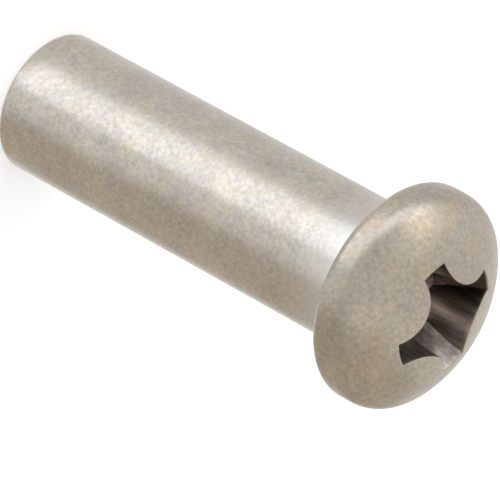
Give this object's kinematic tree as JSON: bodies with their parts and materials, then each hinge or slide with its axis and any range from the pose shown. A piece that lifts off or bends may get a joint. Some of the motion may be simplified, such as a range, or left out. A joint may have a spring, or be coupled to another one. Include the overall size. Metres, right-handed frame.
{
  "type": "binding barrel screw",
  "caption": "Barrel nut of a binding screw: plain round barrel with a blind tapped bore and an oval head with a cross recess.",
  "frame": {"origin": "centre of the barrel's open end face", "axes": "+Z along the barrel, from the open end towards the domed head"},
  "size_m": [0.0098, 0.0098, 0.0234],
  "materials": {
    "steel": "satin, tumbled stainless steel with faint mottling"
  },
  "bodies": {
    "root": {"barrel_nut": "steel"}
  },
  "joints": []
}
